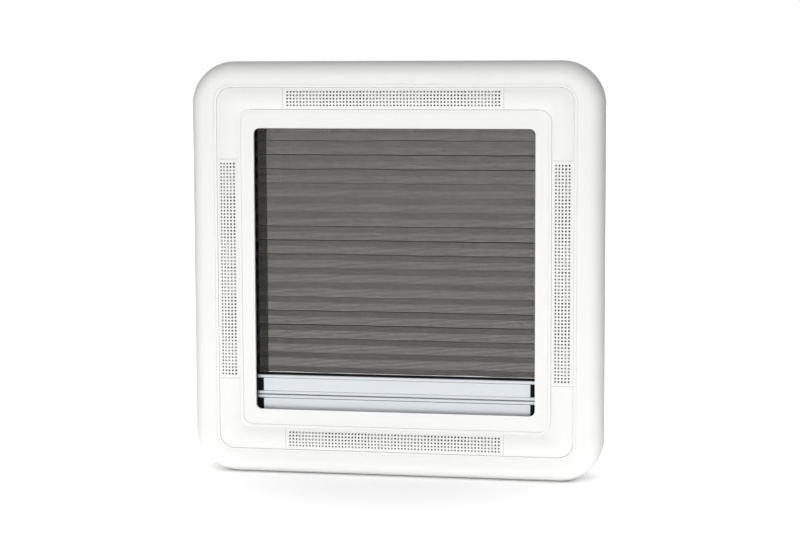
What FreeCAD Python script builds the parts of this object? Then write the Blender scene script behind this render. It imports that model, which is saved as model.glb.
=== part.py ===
"""Caravan rooflight with a pleated flyscreen and a pleated blackout blind.

Millimetres. X runs to the right, Y from the room to the roof side and Z up. The origin is the centre
of the roof flange's seat. Depths are measured from the trim's front plane towards the roof side.
"""
import FreeCAD, Part
import math
import os
import Sketcher

DRIVING_SIZES = [
    # Roof and trim
    ("roof_thickness", 35, "roof panel clamped between flange and trim"),
    ("trim_half", 250, "half width of the trim"),
    ("trim_depth", 30, "trim, from its front plane to the ceiling"),
    ("trim_corner", 52, "corner radius of the trim"),
    ("trim_wall", 3, "wall of the trim"),
    ("trim_round", 20, "radius of the rounded outer edge"),
    ("trim_slope", 11, "sloped inside of that edge"),
    ("rim_wall", 2.5, "wall that the channel's outer edge stands on"),
    ("bead_width", 3.2, "raised bead beside the cover strips"),
    ("bead_height", 0.8, "height of that bead"),
    ("bead_groove", 0.6, "width and depth of the groove beside that bead"),
    # Channel and cover strips
    ("trim_side", 34.2, "trim beside the strips, left and right"),
    ("trim_end", 31.1, "trim beside the strips, top and bottom"),
    ("strip_width", 26.7, "width of the channel that takes the strips"),
    ("strip_gap", 0.3, "gap round each strip"),
    ("strip_crown", 2.6, "rise of a strip's convex face"),
    ("strip_skin", 1.8, "wall of a strip"),
    ("channel_depth", 6, "depth of the channel"),
    ("channel_floor", 2.5, "floor of the channel"),
    ("channel_flange", 6, "floor that reaches under the trim's rim"),
    ("strip_corner", 18, "corner radius at the strips' outer edge"),
    ("inner_corner", 15, "corner radius at the strips' inner edge"),
    ("vent_margin", 56.3, "vent strip's end, from the strips' inner corner"),
    ("air_slot_width", 17, "width of the air slots behind a vent"),
    ("air_slot_length", 33, "length of an air slot"),
    ("air_slot_rib", 4, "rib between the two slots in the middle"),
    ("air_slot_margin", 11.2, "end slot, from the vent strip's end"),
    # Bezel and opening
    ("bezel_side", 18.9, "bezel left and right of the square opening"),
    ("opening_corner", 7, "corner radius of the opening"),
    ("bezel_thick", 4, "plate round the opening"),
    ("bezel_wall", 2.5, "wall between the bezel and the channel"),
    # Housing behind the bezel
    ("housing_wall", 2.5, "wall of the blind housing and the lining"),
    ("housing_gap", 1.5, "gap between the bars and the housing's back"),
    ("shaft_gap", 3.8, "light shaft, outside the opening's edge"),
    ("shaft_corner", 14, "corner radius of the light shaft"),
    ("lining_rise", 7, "lining's roof end, over the roof"),
    # Pull bars
    ("bar_front", 11, "depth of the bars' lips"),
    ("bar_depth", 15, "bar from front to back"),
    ("bar_height", 24.1, "height of a bar"),
    ("bar_reach", 0.6, "bar's end behind the bezel"),
    ("bar_lip", 4.5, "height of a bar's lips"),
    ("bar_recess", 2.2, "depth of the recess between the lips"),
    ("bar_wall", 1.6, "wall of a bar"),
    ("bar_lip_round", 1.4, "rounding of the lips"),
    ("bar_gap", 0.4, "gap between the docked bars"),
    ("dock_height", 16.5, "that gap, above the opening's lower edge"),
    ("face_inset", 7.5, "face strip's end, from the bar's end"),
    ("face_thick", 1.2, "thickness of the face strip"),
    ("hem_height", 1.6, "height of the mesh's bead"),
    ("hem_depth", 8, "depth of the mesh's bead"),
    # Glides and rails
    ("glide_plug", 14, "length of a glide inside its bar"),
    ("glide_tongue", 8.4, "tongue that runs in the rail"),
    ("tongue_depth", 8, "tongue from front to back"),
    ("tongue_inset", 2.4, "tongue's ends inside the bar's height"),
    ("slide_gap", 0.5, "running clearance of the tongue"),
    ("rail_gap", 1.2, "gap between the bar's end and the rail"),
    ("rail_lip", 3, "lips of the rail"),
    # Screen and blind
    ("head_rail_height", 8.5, "height of the head rail"),
    ("head_rail_depth", 12, "depth of the head rail"),
    ("foot_rail_height", 2.5, "height of the foot rail"),
    ("foot_rail_depth", 13, "depth of the foot rail"),
    ("soft_gap", 0.3, "gap round the screen and the blind"),
    ("pleat_count", 18, "pleats of the screen"),
    ("pleat_depth", 12.4, "pleats from front to back"),
    ("mesh_thick", 0.6, "thickness of the screen"),
    ("blackout_depth", 12, "folded blind from front to back"),
    # Roof side
    ("flange_inset", 10, "roof flange, inside the trim's outer edge"),
    ("flange_corner", 38, "corner radius of the roof flange"),
    ("flange_thick", 4, "roof flange"),
    ("flange_slope", 2.5, "sloped edge of the flange"),
    ("neck_step", 20.2, "neck in the roof cut-out, outside the upstand's inner face"),
    ("neck_length", 27, "neck below the flange"),
    ("upstand_height", 22, "top of the upstand over the roof"),
    ("upstand_wall", 8, "wall of the upstand"),
    ("fit_gap", 0.3, "gap between lining and roof frame"),
    ("seal_height", 4, "dome seal"),
    ("seal_inset", 0.8, "seal's edges inside the upstand's"),
    ("pane_thick", 3, "acrylic panes"),
    ("inner_pane_inset", 17, "inner pane, inside the dome's edge"),
    ("inner_pane_corner", 40, "corner radius of the inner pane"),
    ("dome_inset", 18, "dome's edge, inside the roof flange's"),
    ("dome_corner", 48, "corner radius of the dome"),
    ("dome_lip", 19, "turned-down lip of the dome"),
    ("dome_rim", 18, "flat rim round the dome"),
    ("dome_rise", 28, "dome above its rim"),
    ("dome_slope", 40, "slope of the dome's sides, degrees from upright"),
    ("dome_round", 20, "rounding of the dome's shoulder"),
    ("dome_slope_inside", 7, "sloped inside of that shoulder"),
]

CORNER_STEPS = 5
SAME_PLACE = 1e-3
SIDES = {"top": 0, "right": 90, "bottom": 180, "left": 270}
CORNERS = {"top_right": (1, 1), "bottom_right": (1, -1), "bottom_left": (-1, -1), "top_left": (-1, 1)}
VERTICAL = FreeCAD.Vector(0, 0, 1)
TO_ROOF = FreeCAD.Vector(0, 1, 0)

doc = FreeCAD.newDocument("CaravanRooflight")
sizes = doc.addObject("Spreadsheet::Sheet", "Sizes")
for row, (alias, size, meaning) in enumerate(DRIVING_SIZES, start=1):
    sizes.set(f"A{row}", meaning)
    sizes.set(f"B{row}", str(size))
    sizes.setAlias(f"B{row}", alias)
doc.recompute()


def cell(alias):
    """Expression that reads one driving size."""
    return "Sizes." + alias


def value(expression):
    """Number that an expression gives with the sheet's present sizes."""
    return float(sizes.evalExpression(str(expression)))


# Places worked out from the driving sizes, as expressions
FRONT = f"({cell('roof_thickness')} + {cell('trim_depth')})"
OUTER_SIDE = f"({cell('trim_half')} - {cell('trim_side')})"
OUTER_END = f"({cell('trim_half')} - {cell('trim_end')})"
INNER_SIDE = f"({OUTER_SIDE} - {cell('strip_width')})"
INNER_END = f"({OUTER_END} - {cell('strip_width')})"
CHANNEL_OUTSIDE = (OUTER_SIDE, OUTER_END, cell("strip_corner"))
CHANNEL_INSIDE = (INNER_SIDE, INNER_END, cell("inner_corner"))
VENT_HALF = f"({INNER_SIDE} - {cell('vent_margin')})"
OPENING_HALF = f"({INNER_SIDE} - {cell('bezel_side')})"
SHAFT_HALF = f"({OPENING_HALF} + {cell('shaft_gap')})"
FLOOR_BACK = f"({cell('channel_depth')} + {cell('channel_floor')})"
HOUSING_SIDE = f"({INNER_SIDE} - {cell('housing_wall')})"
HOUSING_END = f"({INNER_END} - {cell('housing_wall')})"
BAR_BACK = f"({cell('bar_front')} + {cell('bar_depth')})"
HOUSING_BACK = f"({BAR_BACK} + {cell('housing_gap')})"
BAR_MIDDLE = f"({cell('bar_front')} + {cell('bar_depth')} / 2)"
BAR_HALF = f"({OPENING_HALF} + {cell('bar_reach')})"
FACE_HALF = f"({BAR_HALF} - {cell('face_inset')})"
DOCK = f"({cell('dock_height')} - {OPENING_HALF})"
FLY_BOTTOM = f"({DOCK} + {cell('bar_gap')} / 2)"
FLY_TOP = f"({FLY_BOTTOM} + {cell('bar_height')})"
BLIND_TOP = f"({DOCK} - {cell('bar_gap')} / 2)"
BLIND_BOTTOM = f"({BLIND_TOP} - {cell('bar_height')})"
RAIL_INSIDE = f"({BAR_HALF} + {cell('rail_gap')})"
UPSTAND_HALF = f"({SHAFT_HALF} + {cell('housing_wall')} + {cell('fit_gap')})"
UPSTAND_CORNER = f"({cell('shaft_corner')} + {cell('housing_wall')} + {cell('fit_gap')})"
NECK_HALF = f"({UPSTAND_HALF} + {cell('neck_step')})"
FLANGE_HALF = f"({cell('trim_half')} - {cell('flange_inset')})"
DOME_HALF = f"({FLANGE_HALF} - {cell('dome_inset')})"
DOME_RISE_HALF = f"({DOME_HALF} - {cell('dome_rim')})"
SEAL_TOP = f"({cell('upstand_height')} + {cell('seal_height')})"
RIM_BOTTOM = f"({SEAL_TOP} + {cell('pane_thick')})"
RIM_TOP = f"({RIM_BOTTOM} + {cell('pane_thick')})"


def depth(expression):
    """Y of a depth behind the trim's front plane, as an expression."""
    return f"({expression} - {FRONT})"


def new_body(label):
    body = doc.addObject("PartDesign::Body", label)
    body.Label = label
    return body


def new_sketch(body, name, role, offset):
    """Sketch on one of the body's origin planes, moved along the plane's normal."""
    sketch = body.newObject("Sketcher::SketchObject", name)
    plane = next(item for item in body.Origin.OriginFeatures if item.Role == role)
    sketch.AttachmentSupport = [(plane, "")]
    sketch.MapMode = "FlatFace"
    sketch.setExpression("AttachmentOffset.Base.z", offset)
    return sketch


def bind_distance(sketch, kind, geometry, point, expression):
    """Signed distance of a point from the origin, bound to an expression."""
    place = value(expression)
    if place >= 0:
        index = sketch.addConstraint(Sketcher.Constraint(kind, -1, 1, geometry, point, place))
        bound = expression
    else:
        index = sketch.addConstraint(Sketcher.Constraint(kind, geometry, point, -1, 1, -place))
        bound = f"-({expression})"
    sketch.setExpression(f"Constraints[{index}]", bound)


def add_rectangle(sketch, left, right, low, high):
    """Closed rectangle between four expressions."""
    xs = [value(left), value(right)]
    ys = [value(low), value(high)]
    points = [FreeCAD.Vector(xs[i], ys[j], 0) for i, j in ((0, 0), (1, 0), (1, 1), (0, 1))]
    first = sketch.GeometryCount
    for start in range(4):
        sketch.addGeometry(Part.LineSegment(points[start], points[(start + 1) % 4]))
    for start in range(4):
        joint = Sketcher.Constraint("Coincident", first + start, 2, first + (start + 1) % 4, 1)
        sketch.addConstraint(joint)
    for start, kind in enumerate(("Horizontal", "Vertical", "Horizontal", "Vertical")):
        sketch.addConstraint(Sketcher.Constraint(kind, first + start))
    bind_distance(sketch, "DistanceX", first, 1, left)
    bind_distance(sketch, "DistanceY", first, 1, low)
    bind_distance(sketch, "DistanceX", first + 2, 1, right)
    bind_distance(sketch, "DistanceY", first + 2, 1, high)


def add_rounded_rectangle(sketch, half_width, half_height, radius):
    """Rectangle centred on the origin with four equal rounded corners."""
    wide, tall, turn = value(half_width), value(half_height), value(radius)
    first = sketch.GeometryCount
    quarter = math.pi / 2
    for corner in range(4):
        across, along = (wide, tall) if corner % 2 == 0 else (tall, wide)
        spin = FreeCAD.Rotation(VERTICAL, 90 * corner)
        centre = spin.multVec(FreeCAD.Vector(across - turn, along - turn, 0))
        circle = Part.Circle(centre, VERTICAL, turn)
        sketch.addGeometry(Part.ArcOfCircle(circle, corner * quarter, (corner + 1) * quarter))
        start = spin.multVec(FreeCAD.Vector(across - turn, along, 0))
        end = spin.multVec(FreeCAD.Vector(turn - across, along, 0))
        sketch.addGeometry(Part.LineSegment(start, end))
    for corner in range(4):
        arc, line, next_arc = (first + (2 * corner + step) % 8 for step in range(3))
        sketch.addConstraint(Sketcher.Constraint("Tangent", arc, 2, line, 1))
        sketch.addConstraint(Sketcher.Constraint("Tangent", line, 2, next_arc, 1))
    for corner, kind in enumerate(("Horizontal", "Vertical", "Horizontal", "Vertical")):
        sketch.addConstraint(Sketcher.Constraint(kind, first + 2 * corner + 1))
    for corner in range(1, 4):
        sketch.addConstraint(Sketcher.Constraint("Equal", first, first + 2 * corner))
    index = sketch.addConstraint(Sketcher.Constraint("Radius", first, turn))
    sketch.setExpression(f"Constraints[{index}]", str(radius))
    bind_distance(sketch, "DistanceY", first + 1, 1, half_height)
    bind_distance(sketch, "DistanceX", first + 3, 1, f"-({half_width})")
    bind_distance(sketch, "DistanceY", first + 5, 1, f"-({half_height})")
    bind_distance(sketch, "DistanceX", first + 7, 1, half_width)


def grown(outline, change):
    """Rounded outline moved outwards all round by an expression."""
    return tuple(f"({size} + {change})" for size in outline)


def square(half, radius):
    return (half, half, radius)


def ring_pad(body, name, start, end, outer, inner=None):
    """Pad between two Y places, with a rounded outline and maybe a rounded hole in it."""
    sketch = new_sketch(body, name + "_outline", "XZ_Plane", f"-{start}")
    add_rounded_rectangle(sketch, *outer)
    if inner:
        add_rounded_rectangle(sketch, *inner)
    pad = body.newObject("PartDesign::Pad", name)
    pad.Profile = sketch
    pad.Reversed = True
    pad.setExpression("Length", f"{end} - {start}")
    doc.recompute()
    return pad


def pocket(body, name, sketch, length, towards_room=False):
    """Pocket from a sketch. It has to take material away."""
    before = body.Shape.Volume
    cut = body.newObject("PartDesign::Pocket", name)
    cut.Profile = sketch
    cut.Reversed = towards_room
    cut.setExpression("Length", length)
    doc.recompute()
    if not body.Shape.Volume < before:
        raise RuntimeError(f"{body.Label}: {name} cuts nothing")
    return cut


def ring_pocket(body, name, start, length, outline, towards_room=False):
    sketch = new_sketch(body, name + "_outline", "XZ_Plane", f"-{start}")
    add_rounded_rectangle(sketch, *outline)
    return pocket(body, name, sketch, length, towards_room)


def ring_groove(body, name, start, outer, inner):
    """Groove as deep as wide between two rounded outlines."""
    sketch = new_sketch(body, name + "_outline", "XZ_Plane", f"-{start}")
    add_rounded_rectangle(sketch, *outer)
    add_rounded_rectangle(sketch, *inner)
    return pocket(body, name, sketch, cell("bead_groove"))


def edge_names(feature, wanted):
    """Names of the edges that pass a test."""
    names = [f"Edge{i}" for i, edge in enumerate(feature.Shape.Edges, start=1) if wanted(edge)]
    if not names:
        raise RuntimeError(f"{feature.Label}: no edge found")
    return names


def fillet(body, name, wanted, radius):
    base = body.Tip
    rounding = body.newObject("PartDesign::Fillet", name)
    rounding.Base = (base, edge_names(base, wanted))
    rounding.setExpression("Radius", radius)
    doc.recompute()
    return rounding


def chamfer(body, name, wanted, size):
    base = body.Tip
    slope = body.newObject("PartDesign::Chamfer", name)
    slope.Base = (base, edge_names(base, wanted))
    slope.setExpression("Size", size)
    doc.recompute()
    return slope


def loop_edge(place, half):
    """Test for the edges of a loop at one Y whose straight runs lie at a half width."""
    y, reach = value(place), value(half)

    def wanted(edge):
        points = [vertex.Point for vertex in edge.Vertexes]
        return all(abs(point.y - y) < SAME_PLACE for point in points) and all(
            abs(max(abs(point.x), abs(point.z)) - reach) < SAME_PLACE for point in points)

    return wanted


def box_pad(body, name, left, right, front, back, low, high):
    """Straight block along X between six expressions."""
    sketch = new_sketch(body, name + "_section", "YZ_Plane", left)
    add_rectangle(sketch, front, back, low, high)
    pad = body.newObject("PartDesign::Pad", name)
    pad.Profile = sketch
    pad.setExpression("Length", f"{right} - {left}")
    doc.recompute()
    return pad


def box_pocket(body, name, left, right, front, back, low, high):
    sketch = new_sketch(body, name + "_section", "YZ_Plane", right)
    add_rectangle(sketch, front, back, low, high)
    return pocket(body, name, sketch, f"{right} - {left}")


def make_outer_trim():
    """Hollow frame with a rounded outer edge, a rim round the channel and a bead on the rim."""
    body = new_body("outer_trim")
    front, back = depth("0"), depth(cell("trim_depth"))
    outline = square(cell("trim_half"), cell("trim_corner"))
    ring_pad(body, "frame", front, back, outline)
    inside = grown(outline, f"-{cell('trim_wall')}")
    hollow = f"{cell('trim_depth')} - {cell('trim_wall')}"
    ring_pocket(body, "hollow", back, hollow, inside, towards_room=True)
    ceiling = depth(cell("trim_wall"))
    chamfer(body, "inner_slope", loop_edge(ceiling, inside[0]), cell("trim_slope"))
    fillet(body, "outer_round", loop_edge(front, cell("trim_half")), cell("trim_round"))
    ring_pocket(body, "channel_mouth", front, cell("trim_depth"), CHANNEL_OUTSIDE)
    rim = grown(CHANNEL_OUTSIDE, cell("rim_wall"))
    ring_pad(body, "rim", front, depth(cell("channel_depth")), rim, CHANNEL_OUTSIDE)
    bead = grown(CHANNEL_OUTSIDE, cell("bead_width"))
    ring_pad(body, "bead", depth(f"-{cell('bead_height')}"), front, bead, CHANNEL_OUTSIDE)
    ring_groove(body, "bead_groove", front, grown(bead, cell("bead_groove")), bead)
    return body


def slot_span(outside):
    """Near and far edge of the air slots under a strip with this outer edge."""
    middle = f"({outside} - {cell('strip_width')} / 2)"
    return tuple(f"({middle} {sign} {cell('air_slot_width')} / 2)" for sign in "-+")


def opposite(span):
    """The same span on the other side of the middle."""
    return f"-{span[1]}", f"-{span[0]}"


def make_blind_frame():
    """Bezel round the opening, with the sunk channel and its air slots."""
    body = new_body("blind_frame")
    opening = square(OPENING_HALF, cell("opening_corner"))
    inside = grown(CHANNEL_INSIDE, f"-{cell('bezel_wall')}")
    flange = grown(CHANNEL_OUTSIDE, cell("channel_flange"))
    ring_pad(body, "bezel", depth("0"), depth(cell("bezel_thick")), CHANNEL_INSIDE, opening)
    ring_pad(body, "wall", depth("0"), depth(FLOOR_BACK), CHANNEL_INSIDE, inside)
    ring_pad(body, "floor", depth(cell("channel_depth")), depth(FLOOR_BACK), flange, inside)
    bead = grown(CHANNEL_INSIDE, f"-{cell('bead_width')}")
    ring_pad(body, "bead", depth(f"-{cell('bead_height')}"), depth("0"), CHANNEL_INSIDE, bead)
    ring_groove(body, "bead_groove", depth("0"), bead, grown(bead, f"-{cell('bead_groove')}"))
    slots = new_sketch(body, "air_slot_outline", "XZ_Plane", f"-{depth(cell('channel_depth'))}")
    side, end = (slot_span(outside) for outside in (OUTER_SIDE, OUTER_END))
    near = f"({cell('air_slot_rib')} / 2)"
    far = f"({VENT_HALF} - {cell('air_slot_margin')} - {cell('air_slot_length')})"
    for start in (near, far):
        along = (start, f"({start} + {cell('air_slot_length')})")
        for low, high in (along, opposite(along)):
            add_rectangle(slots, low, high, *end)
            add_rectangle(slots, low, high, *opposite(end))
            add_rectangle(slots, *side, low, high)
            add_rectangle(slots, *opposite(side), low, high)
    pocket(body, "air_slots", slots, cell("channel_floor"))
    return body


def make_reveal_lining():
    """Blind housing behind the bezel, and the wall of the light shaft."""
    body = new_body("reveal_lining")
    shaft = square(SHAFT_HALF, cell("shaft_corner"))
    lining = grown(shaft, cell("housing_wall"))
    back = depth(f"({HOUSING_BACK} + {cell('housing_wall')})")
    inside = grown(CHANNEL_INSIDE, f"-{cell('housing_wall')}")
    ring_pad(body, "housing", depth(FLOOR_BACK), back, CHANNEL_INSIDE, inside)
    ring_pad(body, "housing_back", depth(HOUSING_BACK), back, CHANNEL_INSIDE, shaft)
    ring_pad(body, "lining", depth(HOUSING_BACK), cell("lining_rise"), lining, shaft)
    return body


def crown_radius(width, rise):
    """Radius of the arc with this chord and rise, as an expression."""
    return f"(({width} ^ 2 / 4 + {rise} ^ 2) / (2 * {rise}))"


def arched_block(name, inner, outer, crown, start, end, back):
    """Block along X whose room side is an arc across Z that rises over a start depth."""
    width = f"({outer} - {inner})"
    radius = crown_radius(width, crown)
    block = doc.addObject("Part::Box", name + "_block")
    block.setExpression("Length", f"{end} - {start}")
    block.setExpression("Width", f"{back} + {crown}")
    block.setExpression("Height", width)
    block.setExpression("Placement.Base.x", start)
    block.setExpression("Placement.Base.y", f"-{crown} - {FRONT}")
    block.setExpression("Placement.Base.z", inner)
    arc = doc.addObject("Part::Cylinder", name + "_arc")
    arc.Placement.Rotation = FreeCAD.Rotation(FreeCAD.Vector(0, 1, 0), 90)
    arc.setExpression("Radius", radius)
    arc.setExpression("Height", f"{end} - {start}")
    arc.setExpression("Placement.Base.x", start)
    arc.setExpression("Placement.Base.y", f"{radius} - {crown} - {FRONT}")
    arc.setExpression("Placement.Base.z", f"({inner} + {outer}) / 2")
    arched = doc.addObject("Part::Common", name)
    arched.Base = block
    arched.Tool = arc
    return arched


def make_vent_grille(side, turn):
    """Convex strip with two legs on the channel's floor, turned to its side of the frame."""
    label = "vent_grille_" + side
    edges = (INNER_END, OUTER_END) if side in ("top", "bottom") else (INNER_SIDE, OUTER_SIDE)
    inner, outer = f"({edges[0]} + {cell('strip_gap')})", f"({edges[1]} - {cell('strip_gap')})"
    skin = cell("strip_skin")
    strip = arched_block(label + "_strip", inner, outer, cell("strip_crown"),
                         f"-{VENT_HALF}", VENT_HALF, cell("channel_depth"))
    hollow = doc.addObject("Part::Box", label + "_hollow")
    hollow.setExpression("Length", f"2 * {VENT_HALF}")
    hollow.setExpression("Width", f"{cell('channel_depth')} - {skin} + {cell('strip_crown')} / 2")
    hollow.setExpression("Height", f"{outer} - {inner} - 2 * {skin}")
    hollow.setExpression("Placement.Base.x", f"-{VENT_HALF}")
    hollow.setExpression("Placement.Base.y", depth(f"{skin} - {cell('strip_crown')} / 2"))
    hollow.setExpression("Placement.Base.z", f"{inner} + {skin}")
    grille = doc.addObject("Part::Cut", label)
    grille.Base = strip
    grille.Tool = hollow
    grille.Label = label
    grille.Placement = FreeCAD.Placement(FreeCAD.Vector(), FreeCAD.Rotation(TO_ROOF, turn))
    return grille


def cover_section(inner_point, outer_point):
    """Closed section of a corner cover between a point of its inner and of its outer edge."""
    crown, floor, skin = (value(cell(name)) for name in ("strip_crown", "channel_depth", "strip_skin"))
    front = value(FRONT)
    across = outer_point - inner_point

    def point(share, into):
        place = inner_point + across * share
        return FreeCAD.Vector(place.x, into - front, place.z)

    face = Part.Arc(point(0, 0), point(0.5, -crown), point(1, 0))
    leg = skin / value(cell("strip_width"))
    under = skin - crown / 2
    corners = [point(1, 0), point(1, floor), point(1 - leg, floor), point(1 - leg, under),
               point(leg, under), point(leg, floor), point(0, floor), point(0, 0)]
    return Part.Wire([face.toShape()] + Part.makePolygon(corners).Edges)


def make_corner_cover(corner, across, up):
    """L-shaped convex cover whose inner and outer corners have their own radii."""
    gap = value(cell("strip_gap"))
    inner = FreeCAD.Vector(value(INNER_SIDE) + gap, 0, value(INNER_END) + gap)
    outer = FreeCAD.Vector(value(OUTER_SIDE) - gap, 0, value(OUTER_END) - gap)
    inner_turn = value(cell("inner_corner")) + gap
    outer_turn = value(cell("strip_corner")) - gap
    end = value(VENT_HALF) + gap
    diagonal = FreeCAD.Vector(1, 0, 1)
    pairs = [(FreeCAD.Vector(end, 0, inner.z), FreeCAD.Vector(end, 0, outer.z))]
    for step in range(CORNER_STEPS + 1):
        angle = math.pi / 2 * (1 - step / CORNER_STEPS)
        way = FreeCAD.Vector(math.cos(angle), 0, math.sin(angle))
        pairs.append((inner + (way - diagonal) * inner_turn, outer + (way - diagonal) * outer_turn))
    pairs.append((FreeCAD.Vector(inner.x, 0, end), FreeCAD.Vector(outer.x, 0, end)))
    wires = [cover_section(*(FreeCAD.Vector(point.x * across, 0, point.z * up) for point in pair))
             for pair in pairs]
    cover = doc.addObject("Part::Feature", "corner_cover_" + corner)
    cover.Label = "corner_cover_" + corner
    cover.Shape = Part.makeLoft(wires, True, True)
    return cover


def mirrored(side, near, far):
    """Low and high X expressions of a span on the left or right side."""
    return (near, far) if side == "right" else (f"-{far}", f"-{near}")


def make_guide_rail(side):
    """Upright channel, open to the middle, that guides the bars' tongues."""
    body = new_body("guide_rail_" + side)
    tongue_front = f"({BAR_MIDDLE} - {cell('tongue_depth')} / 2 - {cell('slide_gap')})"
    tongue_back = f"({BAR_MIDDLE} + {cell('tongue_depth')} / 2 + {cell('slide_gap')})"
    floor = f"({BAR_HALF} + {cell('glide_tongue')} + {cell('slide_gap')})"
    height = f"({INNER_END} - {cell('inner_corner')})"
    box_pad(body, "channel", *mirrored(side, RAIL_INSIDE, HOUSING_SIDE),
            depth(f"({tongue_front} - {cell('rail_lip')})"), depth(HOUSING_BACK), f"-{height}", height)
    box_pocket(body, "track", *mirrored(side, RAIL_INSIDE, floor),
               depth(tongue_front), depth(tongue_back), f"-{height}", height)
    return body


def make_bar(name, low):
    """Hollow extrusion with two rounded lips and a recess, open at its ends for the glides."""
    body = new_body(name + "_bar")
    half, lip = BAR_HALF, cell("bar_lip")
    high = f"({low} + {cell('bar_height')})"
    front, back = depth(cell("bar_front")), depth(BAR_BACK)
    floor = depth(f"({cell('bar_front')} + {cell('bar_recess')})")
    wall = cell("bar_wall")
    box_pad(body, "profile", f"-{half}", half, front, back, low, high)
    recess_low, recess_high = f"({low} + {lip})", f"({high} - {lip})"
    box_pocket(body, "recess", f"-{half}", half, front, floor, recess_low, recess_high)
    box_pocket(body, "hollow", f"-{half}", half, f"({floor} + {wall})", f"({back} - {wall})",
               f"({low} + {wall})", f"({high} - {wall})")
    for side in ("left", "right"):
        ends = mirrored(side, FACE_HALF, half)
        box_pocket(body, side + "_window", *ends, floor, f"({floor} + {wall})", recess_low, recess_high)
    y, long_edge = value(front), value(half)

    def lip_edge(edge):
        points = [vertex.Point for vertex in edge.Vertexes]
        return edge.Length > long_edge and all(abs(point.y - y) < SAME_PLACE for point in points)

    fillet(body, "lip_round", lip_edge, cell("bar_lip_round"))
    return body


def make_bar_face(name, low):
    """Flat strip that lies in the bar's recess."""
    body = new_body(name + "_bar_face")
    half = FACE_HALF
    floor = depth(f"({cell('bar_front')} + {cell('bar_recess')})")
    box_pad(body, "strip", f"-{half}", half, f"({floor} - {cell('face_thick')})", floor,
            f"({low} + {cell('bar_lip')})", f"({low} + {cell('bar_height')} - {cell('bar_lip')})")
    return body


def make_glide(name, low, side):
    """End piece: a plug in the bar, a block that shows beside the face, and a tongue in the rail."""
    body = new_body(f"{name}_glide_{side}")
    half, wall = BAR_HALF, cell("bar_wall")
    high = f"({low} + {cell('bar_height')})"
    floor = depth(f"({cell('bar_front')} + {cell('bar_recess')})")
    back = f"({depth(BAR_BACK)} - {wall})"
    tongue = (depth(f"({BAR_MIDDLE} - {cell('tongue_depth')} / 2)"),
              depth(f"({BAR_MIDDLE} + {cell('tongue_depth')} / 2)"))
    inset = cell("tongue_inset")
    box_pad(body, "plug", *mirrored(side, f"({half} - {cell('glide_plug')})", half),
            f"({floor} + {wall})", back, f"({low} + {wall})", f"({high} - {wall})")
    box_pad(body, "block", *mirrored(side, FACE_HALF, half), floor,
            f"({floor} + {wall})", f"({low} + {cell('bar_lip')})", f"({high} - {cell('bar_lip')})")
    box_pad(body, "tongue", *mirrored(side, half, f"({half} + {cell('glide_tongue')})"), *tongue,
            f"({low} + {inset})", f"({high} - {inset})")
    return body


def make_straight_strip(label, half, front, back, low, high):
    body = new_body(label)
    box_pad(body, "strip", f"-{half}", half, front, back, low, high)
    return body


def centred(size):
    """Front and back depths of a piece centred on the bars, as expressions."""
    return depth(f"({BAR_MIDDLE} - {size} / 2)"), depth(f"({BAR_MIDDLE} + {size} / 2)")


def make_fixed_rails():
    """Head rail of the screen and foot rail of the blind, between the side rails."""
    half = RAIL_INSIDE
    top = f"({HOUSING_END} - {cell('head_rail_height')})"
    bottom = f"({cell('foot_rail_height')} - {HOUSING_END})"
    return [make_straight_strip("head_rail", half, *centred(cell("head_rail_depth")), top, HOUSING_END),
            make_straight_strip("foot_rail", half, *centred(cell("foot_rail_depth")),
                                f"-{HOUSING_END}", bottom)]


def make_flyscreen_hem():
    return make_straight_strip("flyscreen_hem", BAR_HALF, *centred(cell("hem_depth")),
                               FLY_TOP, f"({FLY_TOP} + {cell('hem_height')})")


def make_flyscreen():
    """Zigzag sheet between the bead on its bar and the head rail."""
    gap, thick = value(cell("soft_gap")), value(cell("mesh_thick"))
    low = value(f"{FLY_TOP} + {cell('hem_height')}") + gap
    high = value(f"{HOUSING_END} - {cell('head_rail_height')}") - gap
    middle = value(depth(BAR_MIDDLE))
    fold = value(cell("pleat_depth")) / 2
    half = value(RAIL_INSIDE) - gap
    steps = 2 * int(value(cell("pleat_count")))
    heights = [low + (high - low) * step / steps for step in range(steps + 1)]
    front = [FreeCAD.Vector(-half, middle - thick / 2 + fold * (-1) ** step, height)
             for step, height in enumerate(heights)]
    back = [point + FreeCAD.Vector(0, thick, 0) for point in reversed(front)]
    outline = Part.Face(Part.makePolygon(front + back + front[:1]))
    screen = doc.addObject("Part::Feature", "flyscreen")
    screen.Label = "flyscreen"
    screen.Shape = outline.extrude(FreeCAD.Vector(2 * half, 0, 0))
    return screen


def make_blackout_pleats():
    half = f"({RAIL_INSIDE} - {cell('soft_gap')})"
    low = f"({cell('foot_rail_height')} - {HOUSING_END} + {cell('soft_gap')})"
    high = f"({BLIND_BOTTOM} - {cell('soft_gap')})"
    return make_straight_strip("blackout_pleats", half, *centred(cell("blackout_depth")), low, high)


def make_roof_frame():
    """Flange on the roof, upstand round the light shaft and neck in the roof's cut-out."""
    body = new_body("roof_frame")
    inside = square(UPSTAND_HALF, UPSTAND_CORNER)
    flange = square(FLANGE_HALF, cell("flange_corner"))
    upstand = grown(inside, cell("upstand_wall"))
    neck = square(NECK_HALF, f"({UPSTAND_CORNER} + {cell('neck_step')})")
    neck_inside = grown(neck, f"-{cell('housing_wall')}")
    web = f"({cell('flange_thick')} / 2)"
    ring_pad(body, "flange", "0", cell("flange_thick"), flange, neck_inside)
    chamfer(body, "flange_edge", loop_edge(cell("flange_thick"), FLANGE_HALF), cell("flange_slope"))
    ring_pad(body, "web", web, cell("flange_thick"), neck, inside)
    ring_pad(body, "upstand", web, cell("upstand_height"), upstand, inside)
    ring_pad(body, "neck", f"(-{cell('neck_length')})", "0", neck, neck_inside)
    return body


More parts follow.
